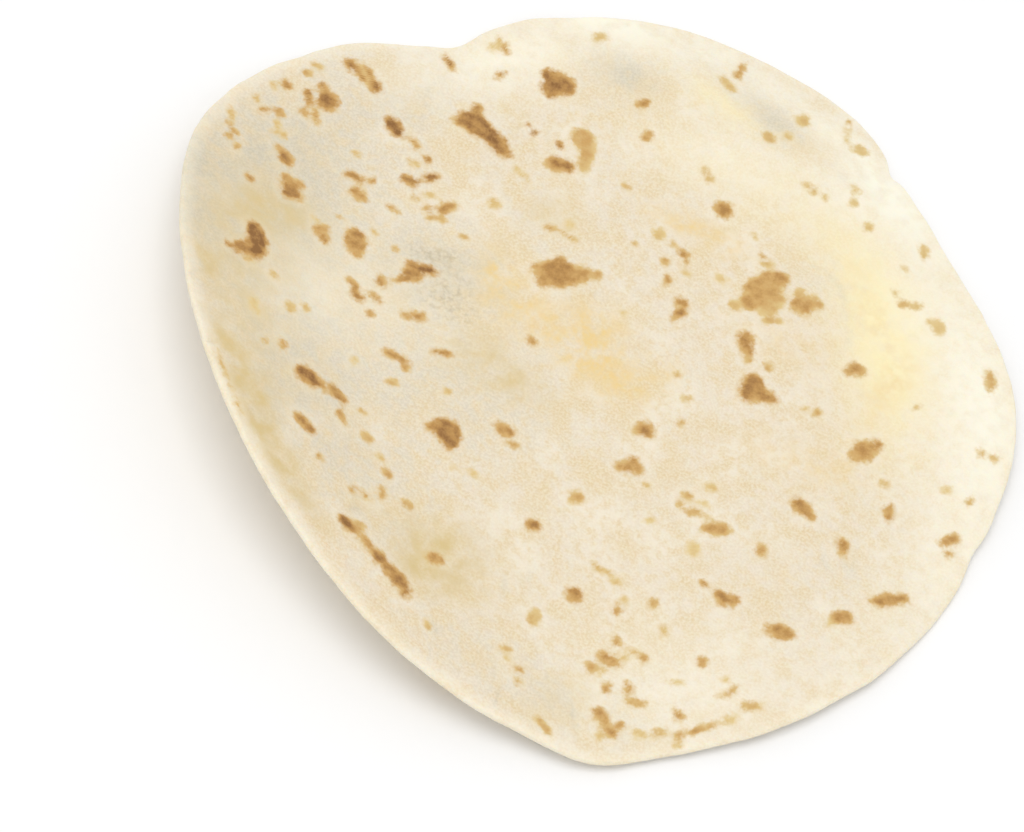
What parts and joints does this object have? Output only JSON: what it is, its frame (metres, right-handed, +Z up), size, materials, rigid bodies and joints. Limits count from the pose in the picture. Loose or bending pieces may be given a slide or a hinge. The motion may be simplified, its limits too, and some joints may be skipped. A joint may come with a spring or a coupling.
{
  "type": "flour tortilla",
  "caption": "Soft round flour tortilla, thin and toasted in spots, lying flat on its far side with its near left side curled up; a flatbread for wraps and fillings.",
  "frame": {"origin": "middle of the area that the curled round covers, at the height of the flat underside that it rests on", "axes": "+Z up from the flat underside, +X to the right and +Y away from someone who looks at it; the curled side is towards -X and -Y"},
  "size_m": [0.2032, 0.1978, 0.0249],
  "materials": {
    "toasted_dough": "matt"
  },
  "bodies": {
    "root": {"tortilla": "toasted_dough"}
  },
  "joints": []
}
